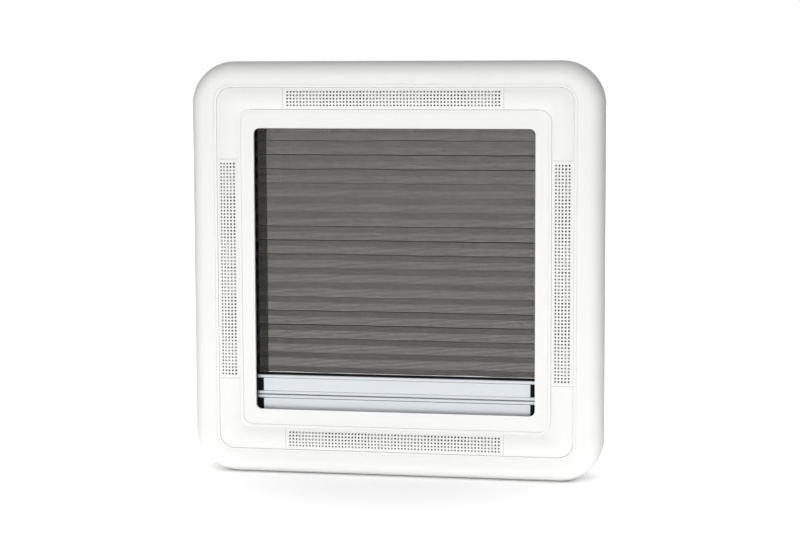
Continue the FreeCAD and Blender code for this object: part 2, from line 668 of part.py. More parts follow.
def make_dome_seal():
    body = new_body("dome_seal")
    inset = cell("seal_inset")
    inside = grown(square(UPSTAND_HALF, UPSTAND_CORNER), inset)
    outside = grown(square(UPSTAND_HALF, UPSTAND_CORNER), f"{cell('upstand_wall')} - {inset}")
    ring_pad(body, "ring", cell("upstand_height"), SEAL_TOP, outside, inside)
    return body


def make_dome_inner_pane():
    body = new_body("dome_inner_pane")
    ring_pad(body, "pane", SEAL_TOP, RIM_BOTTOM,
             square(f"({DOME_HALF} - {cell('inner_pane_inset')})", cell("inner_pane_corner")))
    return body


def make_dome_outer_pane():
    """Shallow dome with a flat rim and a turned-down lip, one wall thick all over."""
    body = new_body("dome_outer_pane")
    rim = square(DOME_HALF, cell("dome_corner"))
    rise = square(DOME_RISE_HALF, cell("dome_corner"))
    slope, wall = cell("dome_slope"), cell("pane_thick")
    ring_pad(body, "rim", RIM_BOTTOM, RIM_TOP, rim)
    top = f"({RIM_TOP} + {cell('dome_rise')})"
    dome = ring_pad(body, "dome", RIM_TOP, top, rise)
    dome.setExpression("TaperAngle", f"-{slope}")
    doc.recompute()
    shoulder = f"({DOME_RISE_HALF} - {cell('dome_rise')} * tan({slope} * 1 deg))"
    fillet(body, "shoulder", loop_edge(top, shoulder), cell("dome_round"))
    hollow = ring_pocket(body, "hollow", RIM_BOTTOM, f"{cell('dome_rise')}", grown(rise, f"-{wall}"))
    hollow.setExpression("TaperAngle", f"-{slope}")
    doc.recompute()
    inside = f"({DOME_RISE_HALF} - {wall} - {cell('dome_rise')} * tan({slope} * 1 deg))"
    under = f"({RIM_BOTTOM} + {cell('dome_rise')})"
    chamfer(body, "inner_shoulder", loop_edge(under, inside), cell("dome_slope_inside"))
    ring_pad(body, "lip", f"({RIM_BOTTOM} - {cell('dome_lip')})", RIM_BOTTOM, rim, grown(rim, f"-{wall}"))
    return body


def make_parts():
    parts = [make_outer_trim(), make_blind_frame(), make_reveal_lining()]
    parts += [make_vent_grille(side, turn) for side, turn in SIDES.items()]
    parts += [make_corner_cover(corner, *way) for corner, way in CORNERS.items()]
    parts += [make_guide_rail(side) for side in ("left", "right")]
    parts += make_fixed_rails()
    for name, low in (("flyscreen", FLY_BOTTOM), ("blackout", BLIND_BOTTOM)):
        parts += [make_bar(name, low), make_bar_face(name, low)]
        parts += [make_glide(name, low, side) for side in ("left", "right")]
    parts += [make_flyscreen_hem(), make_flyscreen(), make_blackout_pleats()]
    parts += [make_roof_frame(), make_dome_seal(), make_dome_inner_pane(), make_dome_outer_pane()]
    return parts


def check(parts):
    """Stop if a feature failed, or a piece is empty, broken or not one solid."""
    failed = [item.Label for item in doc.Objects if {"Invalid", "Error"} & set(item.State)]
    if failed:
        raise RuntimeError(f"failed features: {failed}")
    for part in parts:
        shape = part.Shape
        if shape.isNull() or not shape.isValid() or len(shape.Solids) != 1:
            raise RuntimeError(f"{part.Label} is not one sound solid")


parts = make_parts()
doc.recompute()
check(parts)
os.makedirs("parts", exist_ok=True)
for part in parts:
    part.Shape.exportStep(f"parts/{part.Label}.step")
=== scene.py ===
"""Caravan rooflight: finishes, perforated vents, pleated screen and blind, and the stage."""
import math

import bpy
from bpy.props import FloatProperty, FloatVectorProperty, IntProperty, PointerProperty
from mathutils import Matrix, Vector


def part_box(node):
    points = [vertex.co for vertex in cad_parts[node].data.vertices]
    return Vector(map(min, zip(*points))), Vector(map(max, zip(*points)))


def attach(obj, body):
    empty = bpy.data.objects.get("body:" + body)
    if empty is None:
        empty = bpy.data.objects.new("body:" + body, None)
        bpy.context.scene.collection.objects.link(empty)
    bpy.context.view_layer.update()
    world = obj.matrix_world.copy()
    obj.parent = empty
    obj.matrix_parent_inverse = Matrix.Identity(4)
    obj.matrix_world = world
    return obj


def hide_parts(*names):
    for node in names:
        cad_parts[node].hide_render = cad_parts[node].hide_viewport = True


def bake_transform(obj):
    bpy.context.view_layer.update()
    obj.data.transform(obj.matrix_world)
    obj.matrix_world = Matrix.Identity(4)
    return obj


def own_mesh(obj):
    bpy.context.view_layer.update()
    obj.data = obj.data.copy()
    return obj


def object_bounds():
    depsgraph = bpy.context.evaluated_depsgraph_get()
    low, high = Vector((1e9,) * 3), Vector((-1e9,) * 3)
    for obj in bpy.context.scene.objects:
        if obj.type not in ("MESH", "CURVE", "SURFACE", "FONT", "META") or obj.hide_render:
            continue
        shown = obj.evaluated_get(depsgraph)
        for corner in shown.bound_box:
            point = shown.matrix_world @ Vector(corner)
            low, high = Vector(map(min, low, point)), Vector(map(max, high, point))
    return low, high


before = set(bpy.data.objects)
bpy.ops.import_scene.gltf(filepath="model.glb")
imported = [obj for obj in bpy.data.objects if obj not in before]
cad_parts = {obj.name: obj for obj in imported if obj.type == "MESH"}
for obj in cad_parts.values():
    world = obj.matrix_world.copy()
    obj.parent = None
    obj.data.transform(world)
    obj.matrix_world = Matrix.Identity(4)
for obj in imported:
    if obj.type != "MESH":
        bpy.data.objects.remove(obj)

bl_info = {
    "name": "Caravan Rooflight",
    "version": (1, 0, 0),
    "blender": (4, 5, 0),
    "location": "View3D > Sidebar > Rooflight",
    "description": "Dresses a caravan rooflight: trim, vents, flyscreen, blind, dome and stage",
    "category": "Object",
}

CAD_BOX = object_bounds()
FIXED_BODY = "frame"
SIDE_TURNS = {"top": 0, "right": 90, "bottom": 180, "left": 270}
NUMBER, WHOLE = "NodeSocketFloat", "NodeSocketInt"
# Points nearer than this become one
WELD = 1e-6
# Edges that bend by more than this stay sharp
SHARP_ANGLE = math.radians(30)
# Divisions along a level thread of the screen
LEVEL_STEPS = 40
# How many waves a metre a fold of the screen wanders in, across and upwards
WANDER_ACROSS, WANDER_UP = 18.0, 30.0
# The painted shade on the bezel begins this far before the vents' inner edge and their back
PAINTED_SHADE_MARGIN = 0.001
# Depth of the fine grain on plastic, metal and rubber
FINE_GRAIN = 0.0002


def span(node):
    """Lowest and highest corner of a node, as vectors."""
    low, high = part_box(node)
    return Vector(low), Vector(high)


def foot_place(low, high):
    """Move from the origin to the middle of a sheet's foot."""
    return Matrix.Translation((0, (low.y + high.y) / 2, low.z))


def length_property(name, description, default):
    """Property in metres."""
    return FloatProperty(name=name, description=description, default=default, unit="LENGTH", precision=5)


def colour_property(name, description, default):
    """Property that is picked as a colour."""
    return FloatVectorProperty(name=name, description=description, default=default, subtype="COLOR",
                               size=3, min=0, max=1)


class ROOFLIGHT_PG_sizes(bpy.types.PropertyGroup):
    """Sizes of the pieces that repeat a pattern."""
    vent_columns: IntProperty(name="Vent columns", description="Holes along a vent", default=64, min=1)
    vent_rows: IntProperty(name="Vent rows", description="Holes across a vent", default=5, min=1)
    vent_pitch: length_property("Vent pitch", "Distance from hole to hole", 0.00405)
    vent_hole: length_property("Vent hole", "Side of a square hole", 0.0021)
    vent_crown: length_property("Vent crown", "Rise of a vent's convex face", 0.0026)
    vent_skin: length_property("Vent skin", "Wall of a vent strip", 0.0018)
    thread_pitch: length_property("Thread pitch", "Distance between the screen's threads", 0.0013)
    thread_width: length_property("Thread width", "Width of one thread", 0.00071)
    crease_width: length_property("Crease width", "Width of the stiffened fold lines", 0.0008)
    screen_pleats: IntProperty(name="Screen pleats", description="Pleats of the screen", default=18, min=1)
    screen_wave: length_property("Screen wave", "How far a fold wanders up and down", 0.0014)
    blind_pleats: IntProperty(name="Blind pleats", description="Pleats of the blind", default=15, min=1)


class ROOFLIGHT_PG_colours(bpy.types.PropertyGroup):
    """Colours of the finishes."""
    trim: colour_property("Trim", "Moulded white plastic", (0.90, 0.90, 0.89))
    # Painted shade: near black laid on the bezel behind the vents, standing in for the shade inside them
    channel: colour_property("Channel", "Channel floor behind the vents", (0.02, 0.019, 0.017))
    roof: colour_property("Roof frame", "Weatherproof roof plastic", (0.80, 0.80, 0.79))
    metal: colour_property("Metal", "Anodised aluminium", (0.62, 0.645, 0.67))
    black: colour_property("Black", "Black mouldings", (0.006, 0.006, 0.0065))
    thread: colour_property("Thread", "Screen threads", (0.022, 0.0213, 0.0202))
    blind: colour_property("Blind", "Blackout cloth", (0.52, 0.52, 0.50))
    dome: colour_property("Dome", "Acrylic panes", (0.73, 0.72, 0.70))
    floor: colour_property("Floor", "Studio floor", (0.92, 0.92, 0.92))


class NodeTree:
    """Short hand for adding and linking nodes in one tree."""

    def __init__(self, tree):
        self.tree = tree

    def add(self, kind, settings=None, **inputs):
        node = self.tree.nodes.new(kind)
        for key, setting in (settings or {}).items():
            setattr(node, key, setting)
        for key, source in inputs.items():
            self.feed(node.inputs[key.replace("_", " ")], source)
        return node

    def feed(self, socket, source):
        if isinstance(source, bpy.types.NodeSocket):
            self.tree.links.new(source, socket)
        else:
            socket.default_value = source

    def feed_in_order(self, node, sources):
        """Feed a node's inputs one after another, and give its first output."""
        for socket, source in zip(node.inputs, sources):
            self.feed(socket, source)
        return node.outputs[0]

    def math(self, operation, *sources):
        return self.feed_in_order(self.add("ShaderNodeMath", {"operation": operation}), sources)

    def divided(self, number, divisor):
        """Whole quotient and remainder of a whole number, kept clear of rounding."""
        raised = self.math("ADD", number, 0.25)
        quotient = self.math("FLOOR", self.math("DIVIDE", raised, divisor))
        return quotient, self.math("SUBTRACT", number, self.math("MULTIPLY", quotient, divisor))

    def soft_step(self, source, edge, full, height=1.0):
        """Rise from nothing at the edge to the full height."""
        node = self.add("ShaderNodeMapRange", {"interpolation_type": "SMOOTHSTEP"}, Value=source,
                        From_Min=edge, From_Max=full, To_Min=0.0, To_Max=height)
        return node.outputs[0]

    def vector(self, *parts):
        return self.feed_in_order(self.add("ShaderNodeCombineXYZ"), parts)


class GeometryTree(NodeTree):
    """Geometry node tree with named number inputs, a material input and one mesh output."""

    def __init__(self, name, inputs):
        super().__init__(bpy.data.node_groups.new(name, "GeometryNodeTree"))
        sockets = self.tree.interface
        sockets.new_socket("Geometry", in_out="OUTPUT", socket_type="NodeSocketGeometry")
        for key, kind in inputs.items():
            sockets.new_socket(key, in_out="INPUT", socket_type=kind)
        sockets.new_socket("Material", in_out="INPUT", socket_type="NodeSocketMaterial")
        self.inputs = self.add("NodeGroupInput").outputs

    def grid(self, columns, rows):
        return self.add("GeometryNodeMeshGrid", Vertices_X=columns, Vertices_Y=rows).outputs["Mesh"]

    def index_pair(self, rows):
        """Column and row number of each element of a grid."""
        return self.divided(self.add("GeometryNodeInputIndex").outputs[0], rows)

    def moved(self, mesh, place):
        return self.add("GeometryNodeSetPosition", Geometry=mesh, Position=place).outputs["Geometry"]

    def joined(self, *meshes):
        node = self.add("GeometryNodeJoinGeometry")
        for mesh in meshes:
            self.tree.links.new(mesh, node.inputs[0])
        return node.outputs[0]

    def finish(self, mesh):
        """End the tree with plain geometry in the material that is fed in."""
        real = self.add("GeometryNodeRealizeInstances", Geometry=mesh).outputs[0]
        painted = self.add("GeometryNodeSetMaterial", Geometry=real, Material=self.inputs["Material"])
        end = self.add("NodeGroupOutput")
        self.tree.links.new(painted.outputs[0], end.inputs[0])
        return self.tree


def plain_mesh(name, tree, values, place):
    """Evaluate a geometry tree once and keep its result as a plain mesh object."""
    carrier = bpy.data.objects.new(name + " tree", bpy.data.meshes.new(name + " tree"))
    bpy.context.collection.objects.link(carrier)
    modifier = carrier.modifiers.new("Shape", "NODES")
    modifier.node_group = tree
    for item in tree.interface.items_tree:
        if item.in_out == "INPUT":
            modifier[item.identifier] = values[item.name]
    shaped = carrier.evaluated_get(bpy.context.evaluated_depsgraph_get())
    mesh = bpy.data.meshes.new_from_object(shaped)
    bpy.data.objects.remove(carrier)
    mesh.name = name
    mesh.transform(place)
    mesh.polygons.foreach_set("use_smooth", [True] * len(mesh.polygons))
    mesh.set_sharp_from_angle(angle=SHARP_ANGLE)
    piece = bpy.data.objects.new(name, mesh)
    bpy.context.collection.objects.link(piece)
    return piece


class Finish(NodeTree):
    """Material whose colour, gloss and surface vary a little over the object."""

    def __init__(self, name):
        self.material = bpy.data.materials.new(name)
        self.material.use_nodes = True
        super().__init__(self.material.node_tree)
        self.shader = self.tree.nodes["Principled BSDF"]
        self.place = self.add("ShaderNodeTexCoord").outputs["Object"]

    def noise(self, scale, detail, stretch=(1, 1, 1)):
        mapping = self.add("ShaderNodeMapping", Vector=self.place, Scale=stretch)
        node = self.add("ShaderNodeTexNoise", Vector=mapping.outputs[0], Scale=scale, Detail=detail)
        return node.outputs["Fac"]

    def mix(self, factor, *colours):
        """Colour between two others."""
        node = self.add("ShaderNodeMix", {"data_type": "RGBA"}, Factor=factor)
        sockets = [socket for socket in node.inputs if socket.type == "RGBA"]
        for socket, colour in zip(sockets, colours):
            self.feed(socket, colour)
        return next(socket for socket in node.outputs if socket.type == "RGBA")

    def colour(self, base, change, pattern):
        """Base colour that a pattern darkens and lightens by a small share."""
        dark, light = (tuple(min(1, part * share) for part in base) + (1,)
                       for share in (1 - change, 1 + change))
        self.feed(self.shader.inputs["Base Color"], self.mix(pattern, dark, light))

    def paint(self, shade, where):
        """Another colour where a mask says so."""
        base = self.shader.inputs["Base Color"]
        self.feed(base, self.mix(where, base.links[0].from_socket, tuple(shade) + (1,)))

    def roughness(self, low, high, pattern):
        node = self.add("ShaderNodeMapRange", Value=pattern, To_Min=low, To_Max=high)
        self.feed(self.shader.inputs["Roughness"], node.outputs[0])

    def bump(self, pattern, strength, distance):
        node = self.add("ShaderNodeBump", Height=pattern, Strength=strength, Distance=distance)
        self.feed(self.shader.inputs["Normal"], node.outputs[0])

    def constant(self, **sockets):
        for key, number in sockets.items():
            self.shader.inputs[key.replace("_", " ")].default_value = number


def plastic_finish(name, base, rough=(0.55, 0.68), grain=0.12):
    """Satin moulded plastic with a fine spark-eroded grain and faint unevenness."""
    finish = Finish(name)
    finish.colour(base, change=0.012, pattern=finish.noise(scale=9, detail=4))
    finish.roughness(*rough, pattern=finish.noise(scale=24, detail=3))
    finish.bump(finish.noise(scale=2600, detail=2), strength=grain, distance=FINE_GRAIN)
    finish.constant(Specular_IOR_Level=0.08)
    return finish


def moulded_plastic(name, base, **surface):
    """Plastic of one colour."""
    return plastic_finish(name, base, **surface).material


def bezel_plastic_painted_shade(name, base, dark, channel):
    """White plastic of the bezel with painted shade: near black behind the vents, from the floor of the
    sunk groove that holds them through to the back.
    """
    finish = plastic_finish(name, base)
    x, y, z = finish.add("ShaderNodeSeparateXYZ", Vector=finish.place).outputs
    reach = finish.math("MAXIMUM", finish.math("ABSOLUTE", x), finish.math("ABSOLUTE", z))
    # Painted shade: near black on the bezel further out than the vents' inner edge and behind their back
    painted_shade_mask = finish.math("MULTIPLY", finish.math("GREATER_THAN", reach, channel.x),
                       finish.math("GREATER_THAN", y, channel.y))
    finish.paint(dark, painted_shade_mask)
    return finish.material


def anodised_metal(name, base):
    """Satin anodised extrusion with fine drawn lines along its length."""
    finish = Finish(name)
    lines = finish.noise(scale=900, detail=3, stretch=(0.012, 1, 1))
    finish.colour(base, change=0.03, pattern=lines)
    finish.roughness(low=0.3, high=0.42, pattern=lines)
    finish.bump(lines, strength=0.08, distance=FINE_GRAIN)
    finish.constant(Metallic=0.92)
    return finish.material


def thread_finish(name, base):
    """Dull coated thread."""
    finish = Finish(name)
    finish.colour(base, change=0.25, pattern=finish.noise(scale=400, detail=2))
    finish.roughness(low=0.55, high=0.75, pattern=finish.noise(scale=120, detail=2))
    finish.constant(Specular_IOR_Level=0.3)
    return finish.material


def woven_cloth(name, base):
    """Close plain weave for the blackout cloth."""
    finish = Finish(name)
    weave = finish.noise(scale=1800, detail=2, stretch=(1, 1, 0.6))
    finish.colour(base, change=0.08, pattern=weave)
    finish.roughness(low=0.75, high=0.9, pattern=finish.noise(scale=60, detail=2))
    finish.bump(weave, strength=0.25, distance=0.0003)
    finish.constant(Sheen_Weight=0.15)
    return finish.material


def acrylic_sheet(name, base):
    """Clear tinted acrylic with the faint waviness of a formed sheet."""
    finish = Finish(name)
    finish.colour(base, change=0.02, pattern=finish.noise(scale=6, detail=2))
    finish.roughness(low=0.03, high=0.07, pattern=finish.noise(scale=14, detail=2))
    finish.bump(finish.noise(scale=11, detail=1), strength=0.04, distance=0.002)
    finish.constant(Transmission_Weight=1.0, IOR=1.49)
    return finish.material


def seal_rubber(name, base):
    """Matt extruded rubber."""
    finish = Finish(name)
    finish.colour(base, change=0.2, pattern=finish.noise(scale=70, detail=3))
    finish.roughness(low=0.65, high=0.85, pattern=finish.noise(scale=200, detail=2))
    finish.bump(finish.noise(scale=1500, detail=2), strength=0.2, distance=FINE_GRAIN)
    return finish.material


def dress(nodes, material):
    """Give carried-over nodes a finish."""
    for node in nodes:
        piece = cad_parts[node]
        piece.data.materials.clear()
        piece.data.materials.append(material)


def edge_place(tree, number, count, pitch, hole, total):
    """Place of a grid line: the strip's end for the first and last line, a hole's edge for the rest."""
    step = tree.math("SUBTRACT", number, 1.0)
    pair, second = tree.divided(step, 2.0)
    first_hole = tree.math("MULTIPLY", tree.math("SUBTRACT", count, 1.0),
                           tree.math("MULTIPLY", pitch, -0.5))
    start = tree.math("SUBTRACT", first_hole, tree.math("MULTIPLY", hole, 0.5))
    along = tree.math("ADD", start, tree.math("MULTIPLY", pair, pitch))
    inner = tree.math("ADD", along, tree.math("MULTIPLY", second, hole))
    half = tree.math("MULTIPLY", total, 0.5)
    last = tree.math("ADD", tree.math("MULTIPLY", count, 2.0), 0.5)
    is_first = tree.math("LESS_THAN", number, 0.5)
    is_last = tree.math("GREATER_THAN", number, last)
    is_end = tree.math("ADD", is_first, is_last)
    end = tree.math("MULTIPLY", half, tree.math("SUBTRACT", is_last, is_first))
    middle = tree.math("MULTIPLY", inner, tree.math("SUBTRACT", 1.0, is_end))
    return tree.math("ADD", middle, end)


def vent_tree():
    """Convex strip along X with rows of square holes, a wall thickness and two legs behind it."""
    tree = GeometryTree("Vent grille", {
        "Columns": WHOLE, "Rows": WHOLE, "Pitch": NUMBER, "Hole": NUMBER, "Length": NUMBER,
        "Width": NUMBER, "Crown": NUMBER, "Skin": NUMBER, "Leg": NUMBER})
    ins = tree.inputs
    lines_x = tree.math("ADD", tree.math("MULTIPLY", ins["Columns"], 2.0), 2.0)
    lines_z = tree.math("ADD", tree.math("MULTIPLY", ins["Rows"], 2.0), 2.0)
    mesh = tree.grid(lines_x, lines_z)
    column, row = tree.index_pair(lines_z)
    x = edge_place(tree, column, ins["Columns"], ins["Pitch"], ins["Hole"], ins["Length"])
    z = edge_place(tree, row, ins["Rows"], ins["Pitch"], ins["Hole"], ins["Width"])
    half_square = tree.math("POWER", tree.math("MULTIPLY", ins["Width"], 0.5), 2.0)
    crown_square = tree.math("POWER", ins["Crown"], 2.0)
    radius = tree.math("DIVIDE", tree.math("ADD", half_square, crown_square),
                       tree.math("MULTIPLY", ins["Crown"], 2.0))
    chord = tree.math("SQRT", tree.math("SUBTRACT", tree.math("POWER", radius, 2.0),
                                        tree.math("POWER", z, 2.0)))
    rise = tree.math("ADD", tree.math("SUBTRACT", chord, radius), ins["Crown"])
    mesh = tree.moved(mesh, tree.vector(x, tree.math("MULTIPLY", rise, -1.0), z))
    face_column, face_row = tree.index_pair(tree.math("SUBTRACT", lines_z, 1.0))
    is_hole = tree.math("MULTIPLY", tree.math("MODULO", face_column, 2.0),
                        tree.math("MODULO", face_row, 2.0))
    cut = tree.add("GeometryNodeDeleteGeometry", {"domain": "FACE"}, Geometry=mesh,
                   Selection=tree.math("GREATER_THAN", is_hole, 0.5)).outputs[0]
    turned = tree.add("GeometryNodeFlipFaces", Mesh=cut).outputs[0]
    wall = tree.add("GeometryNodeExtrudeMesh", Mesh=turned, Offset_Scale=ins["Skin"], Individual=False)
    closed = tree.add("GeometryNodeMergeByDistance", Geometry=tree.joined(wall.outputs[0], cut),
                      Distance=WELD).outputs[0]
    leg_depth = tree.math("SUBTRACT", ins["Leg"], ins["Skin"])
    leg_y = tree.math("MULTIPLY", tree.math("ADD", ins["Leg"], ins["Skin"]), 0.5)
    reach = tree.math("MULTIPLY", tree.math("SUBTRACT", ins["Width"], ins["Skin"]), 0.5)
    leg = tree.add("GeometryNodeMeshCube", Size=tree.vector(ins["Length"], leg_depth, ins["Skin"]))
    legs = [tree.add("GeometryNodeTransform", Geometry=leg.outputs[0],
                     Translation=tree.vector(0.0, leg_y, tree.math("MULTIPLY", reach, sign))).outputs[0]
            for sign in (-1.0, 1.0)]
    return tree.finish(tree.joined(closed, *legs))


def pleat_place(tree, height, pleats, total, fold):
    """Distance of the zigzag from its middle at a height over the lowest fold."""
    turns = tree.math("MULTIPLY", tree.math("DIVIDE", height, total), pleats)
    wave = tree.math("PINGPONG", tree.math("MULTIPLY", turns, 2.0), 1.0)
    return tree.math("MULTIPLY", tree.math("SUBTRACT", 0.5, wave), fold)


def wandered(tree, x, z, reach):
    """Small smooth rise and fall of a thread, the same for all that cross there."""
    place = tree.vector(tree.math("MULTIPLY", x, WANDER_ACROSS), 0.0,
                        tree.math("MULTIPLY", z, WANDER_UP))
    noise = tree.add("ShaderNodeTexNoise", Vector=place, Scale=1.0, Detail=1.0).outputs[0]
    centred = tree.math("MULTIPLY", tree.math("SUBTRACT", noise, 0.5), 2.0)
    return tree.math("ADD", z, tree.math("MULTIPLY", centred, reach))


def ribbons(tree, upright, count, first, divisions, steps, width):
    """Flat threads side by side, bent over the folds: a grid with every second column cut out."""
    ins = tree.inputs
    stations = tree.math("ADD", steps, 1.0)
    mesh = tree.grid(tree.math("MULTIPLY", count, 2.0), stations)
    line, station = tree.index_pair(stations)
    thread, second = tree.divided(line, 2.0)
    side = tree.math("SUBTRACT", second, 0.5)
    rank = tree.math("DIVIDE", tree.math("ADD", thread, first), divisions)
    along = tree.math("DIVIDE", station, steps)
    x_share, z_share = (rank, along) if upright else (along, rank)
    x = tree.math("MULTIPLY", tree.math("SUBTRACT", x_share, 0.5), ins["Width"])
    z = tree.math("MULTIPLY", z_share, ins["Height"])
    y = pleat_place(tree, z, ins["Pleats"], ins["Height"], ins["Fold"])
    edge = tree.math("MULTIPLY", side, width)
    x, z = (tree.math("ADD", x, edge), z) if upright else (x, tree.math("ADD", z, edge))
    mesh = tree.moved(mesh, tree.vector(x, y, wandered(tree, x, z, ins["Wave"])))
    face_line, _ = tree.index_pair(steps)
    between = tree.math("GREATER_THAN", tree.math("MODULO", face_line, 2.0), 0.5)
    return tree.add("GeometryNodeDeleteGeometry", {"domain": "FACE"}, Geometry=mesh,
                    Selection=between).outputs[0]


def screen_tree():
    """Pleated insect mesh: upright and level threads, and a heavier line on each front fold."""
    tree = GeometryTree("Pleated screen", {
        "Width": NUMBER, "Height": NUMBER, "Fold": NUMBER, "Pleats": WHOLE, "Pitch": NUMBER,
        "Thread": NUMBER, "Crease": NUMBER, "Wave": NUMBER})
    ins = tree.inputs
    folds = tree.math("MULTIPLY", ins["Pleats"], 2.0)
    uprights = tree.math("FLOOR", tree.math("DIVIDE", ins["Width"], ins["Pitch"]))
    levels = tree.math("FLOOR", tree.math("DIVIDE", ins["Height"], ins["Pitch"]))
    parts = [
        ribbons(tree, True, uprights, 0.5, uprights, folds, ins["Thread"]),
        ribbons(tree, False, levels, 0.5, levels, LEVEL_STEPS, ins["Thread"]),
        ribbons(tree, False, ins["Pleats"], 0.5, ins["Pleats"], LEVEL_STEPS, ins["Crease"])]
    return tree.finish(tree.joined(*parts))


def blind_tree():
    """Folded sheet: a close zigzag between its foot and its bar."""
    tree = GeometryTree("Folded blind", {
        "Width": NUMBER, "Height": NUMBER, "Fold": NUMBER, "Pleats": WHOLE})
    ins = tree.inputs
    stations = tree.math("ADD", tree.math("MULTIPLY", ins["Pleats"], 2.0), 1.0)
    mesh = tree.grid(2, stations)
    line, station = tree.index_pair(stations)
    x = tree.math("MULTIPLY", tree.math("SUBTRACT", line, 0.5), ins["Width"])
    share = tree.math("DIVIDE", station, tree.math("SUBTRACT", stations, 1.0))
    z = tree.math("MULTIPLY", share, ins["Height"])
    y = pleat_place(tree, z, ins["Pleats"], ins["Height"], ins["Fold"])
    return tree.finish(tree.moved(mesh, tree.vector(x, y, z)))


class RooflightOperator:
    """What the operators share."""
    bl_options = {"REGISTER", "UNDO"}

    def execute(self, context):
        self.build(context.scene.rooflight_sizes, context.scene.rooflight_colours)
        return {"FINISHED"}


class ROOFLIGHT_OT_trim(RooflightOperator, bpy.types.Operator):
    """Finish the moulded trim, the bezel with its painted shade behind the vents, the corner covers and
    the lining
    """
    bl_idname = "rooflight.trim"
    bl_label = "Moulded Trim"

    def build(self, sizes, colours):
        white = moulded_plastic("White moulded plastic", colours.trim)
        covers = [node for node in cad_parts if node.startswith("corner_cover")]
        dress(["outer_trim", "reveal_lining"] + covers, white)
        low, high = span("vent_grille_right")
        # Corner where the bezel's painted shade begins, just inside the vents' inner edge and just before
        # their back
        channel = Vector((low.x - PAINTED_SHADE_MARGIN, high.y - PAINTED_SHADE_MARGIN))
        dress(["blind_frame"], bezel_plastic_painted_shade("Bezel plastic", colours.trim, colours.channel, channel))


class ROOFLIGHT_OT_vents(RooflightOperator, bpy.types.Operator):
    """Make the four perforated vent strips"""
    bl_idname = "rooflight.vents"
    bl_label = "Vent Grilles"

    def build(self, sizes, colours):
        tree = vent_tree()
        low, high = span("vent_grille_top")
        edge = low.y + sizes.vent_crown
        values = {
            "Columns": sizes.vent_columns, "Rows": sizes.vent_rows, "Pitch": sizes.vent_pitch,
            "Hole": sizes.vent_hole, "Length": high.x - low.x,
            "Width": high.z - low.z, "Crown": sizes.vent_crown, "Skin": sizes.vent_skin,
            "Leg": high.y - edge, "Material": bpy.data.materials["White moulded plastic"]}
        for side, turn in SIDE_TURNS.items():
            node = "vent_grille_" + side
            low, high = span(node)
            reach = max(abs(low.x + high.x), abs(low.z + high.z)) / 2
            place = Matrix.Rotation(math.radians(turn), 4, "Y") @ Matrix.Translation((0, edge, reach))
            piece = plain_mesh("perforated_vent_" + side, tree, values, place)
            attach(piece, FIXED_BODY)
            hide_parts(node)


class ROOFLIGHT_OT_bars(RooflightOperator, bpy.types.Operator):
    """Finish the pull bars, their glides and the rails"""
    bl_idname = "rooflight.bars"
    bl_label = "Pull Bars"

    def build(self, sizes, colours):
        metal = anodised_metal("Anodised aluminium", colours.metal)
        black = moulded_plastic("Black moulded plastic", colours.black, rough=(0.45, 0.6), grain=0.2)
        for name in ("flyscreen", "blackout"):
            dress([f"{name}_bar", f"{name}_bar_face"], metal)
            dress([f"{name}_glide_left", f"{name}_glide_right"], black)
        dress(["head_rail", "foot_rail"], metal)
        dress(["guide_rail_left", "guide_rail_right", "flyscreen_hem"], black)


class ROOFLIGHT_OT_screen(RooflightOperator, bpy.types.Operator):
    """Make the pleated flyscreen from its threads"""
    bl_idname = "rooflight.screen"
    bl_label = "Flyscreen"

    def build(self, sizes, colours):
        low, high = span("flyscreen")
        size = high - low
        values = {
            "Width": size.x, "Height": size.z, "Fold": size.y, "Pleats": sizes.screen_pleats,
            "Pitch": sizes.thread_pitch, "Thread": sizes.thread_width, "Crease": sizes.crease_width,
            "Wave": sizes.screen_wave, "Material": thread_finish("Screen thread", colours.thread)}
        piece = plain_mesh("pleated_flyscreen", screen_tree(), values, foot_place(low, high))
        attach(piece, FIXED_BODY)
        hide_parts("flyscreen")
        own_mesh(piece)


class ROOFLIGHT_OT_blind(RooflightOperator, bpy.types.Operator):
    """Make the folded blackout blind under its bar"""
    bl_idname = "rooflight.blind"
    bl_label = "Blackout Blind"

    def build(self, sizes, colours):
        low, high = span("blackout_pleats")
        size = high - low
        values = {"Width": size.x, "Height": size.z, "Fold": size.y, "Pleats": sizes.blind_pleats,
                  "Material": woven_cloth("Blackout cloth", colours.blind)}
        piece = plain_mesh("folded_blackout_blind", blind_tree(), values, foot_place(low, high))
        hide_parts("blackout_pleats")
        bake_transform(piece)


class ROOFLIGHT_OT_roof_side(RooflightOperator, bpy.types.Operator):
    """Finish the roof frame, the seal and the two panes of the dome"""
    bl_idname = "rooflight.roof_side"
    bl_label = "Roof Side"

    def build(self, sizes, colours):
        shell = moulded_plastic("Roof frame plastic", colours.roof, rough=(0.5, 0.65), grain=0.3)
        dress(["roof_frame"], shell)
        dress(["dome_seal"], seal_rubber("Seal rubber", colours.black))
        dress(["dome_inner_pane", "dome_outer_pane"], acrylic_sheet("Tinted acrylic", colours.dome))


CAMERA_PLACE = Vector((0.46876, -2.47425, 0.25098))
CAMERA_AIM = Vector((0.00836, -0.0650, 0.00624))
CAMERA_ROLL = math.radians(-0.192)
CAMERA_LENS = 93.16
SENSOR_WIDTH = 36.0
FLOOR_SIZE = 40.0
# The world's two soft lamps: strength, then where along the way to them they begin and are full
FRONT_LAMP = (3.3, 0.05, 0.5)
BACK_LAMP = (3.2, 0.5, 0.9)
# Where both lamps end and where they are full, to the sides and upwards
LAMP_SIDES = (0.75, 0.3)
LAMP_TOP = (0.7, 0.25)
FILL_LIGHT = 0.06
FLOOR_SUN = 4.2
SUN_ANGLE = math.radians(140)
SUN_WAY = (0.0, -0.5, -0.87)
